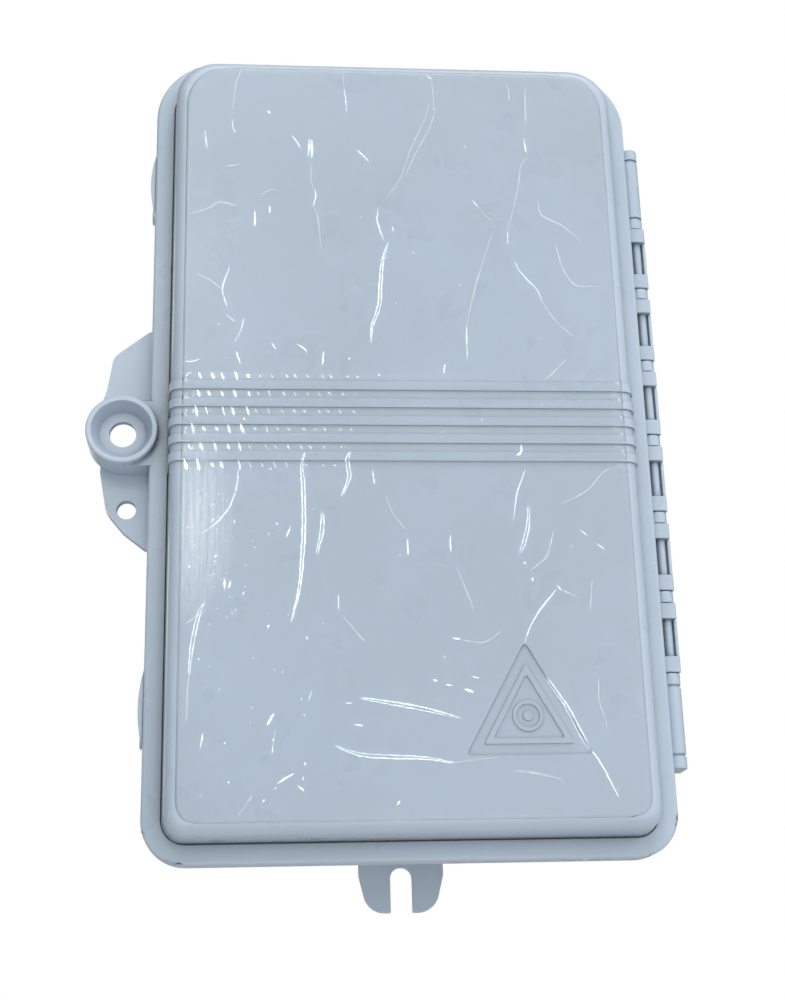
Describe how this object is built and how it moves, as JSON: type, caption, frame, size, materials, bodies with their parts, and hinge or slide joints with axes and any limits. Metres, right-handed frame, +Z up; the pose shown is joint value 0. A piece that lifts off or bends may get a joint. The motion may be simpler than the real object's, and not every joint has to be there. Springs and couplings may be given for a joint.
{
  "type": "fiber termination box",
  "caption": "Wall-mounted fibre termination box: ABS base and hinged domed cover with a lock boss, holding a splice tray, adapters and cable clamps.",
  "frame": {"origin": "centre of the back face, level with the middle of the cover's flange", "axes": "+Z up, +X to the right seen from the front, +Y into the wall"},
  "size_m": [0.1918, 0.0638, 0.3045],
  "materials": {
    "shell_abs": "semi-gloss moulded ABS",
    "clear_film": "clear glossy polyethylene film",
    "seal_rubber": "matt soft rubber",
    "grommet_rubber": "matt rubber",
    "clamp_plastic": "matt moulded nylon",
    "zinc_steel": "zinc plated",
    "bracket_steel": "fine powder coat",
    "tray_plastic": "matt moulded ABS",
    "clear_lid": "clear moulded polycarbonate",
    "holder_rubber": "matt rubber",
    "adapter_blue": "moulded PBT",
    "cap_plastic": "soft moulded polyethylene",
    "insert_brass": "turned brass"
  },
  "bodies": {
    "base": {"base_back_plate": "shell_abs", "insert_bosses": "shell_abs", "cable_rests": "shell_abs", "base_walls": "shell_abs", "cable_entry_wall": "shell_abs", "base_rim": "shell_abs", "lock_ear": "shell_abs", "wall_tab_bottom": "shell_abs", "wall_tab_top": "shell_abs", "hinge_column": "shell_abs", "rim_gasket": "seal_rubber", "cable_grommet_left": "grommet_rubber", "cable_grommet_right": "grommet_rubber", "drop_cable_seal": "grommet_rubber", "cable_saddle_left": "clamp_plastic", "cable_saddle_right": "clamp_plastic", "cable_saddle_screws": "zinc_steel", "drop_cable_clamp_bar": "clamp_plastic", "drop_clamp_screws": "zinc_steel", "strength_member_clamps": "zinc_steel", "strength_member_screws": "zinc_steel", "adapter_bracket": "bracket_steel", "adapter_bracket_screws": "zinc_steel", "splice_tray": "tray_plastic", "splice_tray_screws": "zinc_steel", "splice_tray_lid": "clear_lid", "splice_sleeve_holder": "holder_rubber", "fibre_storage_guides": "clamp_plastic", "brass_inserts": "insert_brass", "sc_adapter_1": "adapter_blue", "sc_adapter_2": "adapter_blue", "sc_adapter_3": "adapter_blue", "sc_adapter_4": "adapter_blue", "sc_adapter_5": "adapter_blue", "sc_adapter_6": "adapter_blue", "sc_adapter_7": "adapter_blue", "sc_adapter_8": "adapter_blue"},
    "cover": {"front_cover": "shell_abs", "lock_boss": "shell_abs", "cover_hinge_segments": "shell_abs", "protective_film": "clear_film"},
    "cap_1": {"dust_cap_1": "cap_plastic"},
    "cap_2": {"dust_cap_2": "cap_plastic"},
    "cap_3": {"dust_cap_3": "cap_plastic"},
    "cap_4": {"dust_cap_4": "cap_plastic"},
    "cap_5": {"dust_cap_5": "cap_plastic"},
    "cap_6": {"dust_cap_6": "cap_plastic"},
    "cap_7": {"dust_cap_7": "cap_plastic"},
    "cap_8": {"dust_cap_8": "cap_plastic"}
  },
  "joints": [
    {"name": "cover_hinge", "type": "hinge", "parent": "base", "child": "cover", "pos_m": [0.0857, -0.042, 0], "axis": [0, 0, 1], "range_deg": [0, 120]},
    {"name": "dust_cap_pull_1", "type": "slide", "parent": "base", "child": "cap_1", "axis": [0, 0, -1], "range_m": [0, 0.012]},
    {"name": "dust_cap_pull_2", "type": "slide", "parent": "base", "child": "cap_2", "axis": [0, 0, -1], "range_m": [0, 0.012]},
    {"name": "dust_cap_pull_3", "type": "slide", "parent": "base", "child": "cap_3", "axis": [0, 0, -1], "range_m": [0, 0.012]},
    {"name": "dust_cap_pull_4", "type": "slide", "parent": "base", "child": "cap_4", "axis": [0, 0, -1], "range_m": [0, 0.012]},
    {"name": "dust_cap_pull_5", "type": "slide", "parent": "base", "child": "cap_5", "axis": [0, 0, -1], "range_m": [0, 0.012]},
    {"name": "dust_cap_pull_6", "type": "slide", "parent": "base", "child": "cap_6", "axis": [0, 0, -1], "range_m": [0, 0.012]},
    {"name": "dust_cap_pull_7", "type": "slide", "parent": "base", "child": "cap_7", "axis": [0, 0, -1], "range_m": [0, 0.012]},
    {"name": "dust_cap_pull_8", "type": "slide", "parent": "base", "child": "cap_8", "axis": [0, 0, -1], "range_m": [0, 0.012]}
  ]
}
